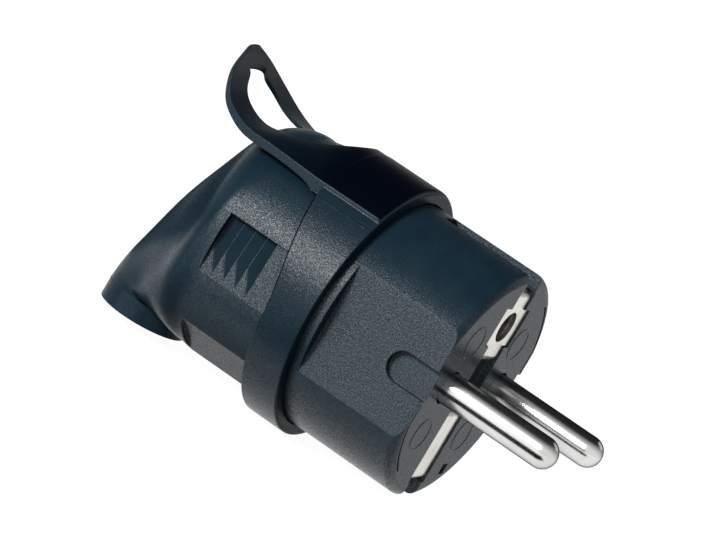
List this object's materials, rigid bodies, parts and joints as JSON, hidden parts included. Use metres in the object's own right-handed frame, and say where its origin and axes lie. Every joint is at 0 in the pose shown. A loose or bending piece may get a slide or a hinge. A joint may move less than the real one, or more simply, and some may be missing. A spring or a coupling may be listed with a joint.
{
  "type": "type f plug",
  "caption": "Rewirable type F plug with solid round contact pins, a side earth strip, an angled cord entry and a pull strap with a finger slot.",
  "frame": {"origin": "centre of the engagement face, midway between the contact pins", "axes": "+X out of the face along the pins, +Z towards the earth hole and the strap, +Y to the second pin; the cord entry opens to -Z"},
  "size_m": [0.0752, 0.041, 0.0446],
  "materials": {
    "housing_plastic": "fine spark-eroded texture, blue-black",
    "strap_plastic": "textured side, smooth top",
    "inner_plastic": "plain moulded",
    "grommet_rubber": "soft matt",
    "earth_metal": "nickel plated sheet",
    "pin_nickel": "bright nickel plating",
    "terminal_brass": "turned brass",
    "screw_steel": "zinc plated"
  },
  "bodies": {
    "root": {"front_housing": "housing_plastic", "rear_housing": "housing_plastic", "pull_strap": "strap_plastic", "pin_retainer": "inner_plastic", "cord_clamp": "inner_plastic", "cord_grommet": "grommet_rubber", "earth_bracket": "earth_metal", "earth_socket": "earth_metal", "earth_terminal_block": "terminal_brass", "terminal_block_left": "terminal_brass", "terminal_block_right": "terminal_brass", "earth_terminal_screw": "screw_steel", "terminal_screw_left": "screw_steel", "terminal_screw_right": "screw_steel", "assembly_screw": "screw_steel", "assembly_nut": "screw_steel", "clamp_screw_left": "screw_steel", "clamp_screw_right": "screw_steel", "contact_pin_left": "pin_nickel", "contact_pin_right": "pin_nickel"}
  },
  "joints": []
}
